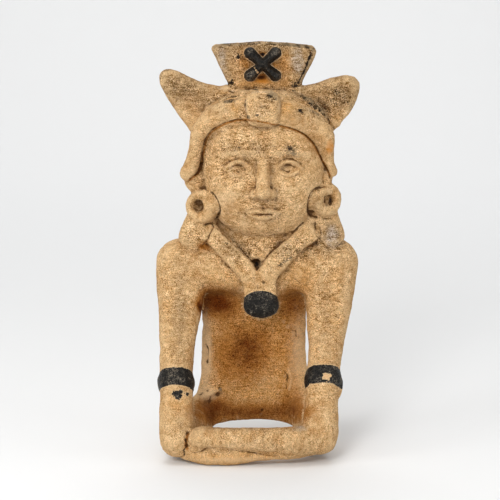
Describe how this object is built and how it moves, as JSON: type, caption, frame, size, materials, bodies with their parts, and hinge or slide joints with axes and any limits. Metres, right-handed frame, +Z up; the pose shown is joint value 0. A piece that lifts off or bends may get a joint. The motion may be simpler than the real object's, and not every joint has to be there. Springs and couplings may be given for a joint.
{
  "type": "seated clay figure",
  "caption": "Seated clay figure with hands on its knees, crossed shins, a winged headdress with an upright crest, ear spools and a V collar.",
  "frame": {"origin": "on the ground under the middle of the figure's bounding box", "axes": "+Z up, the figure faces -Y, and +X is on the viewer's right"},
  "size_m": [0.1498, 0.1031, 0.3],
  "materials": {
    "clay": "unglazed matte fired clay, buff to light brown, with black bitumen patches and soot"
  },
  "bodies": {
    "root": {"figure": "clay"}
  },
  "joints": []
}
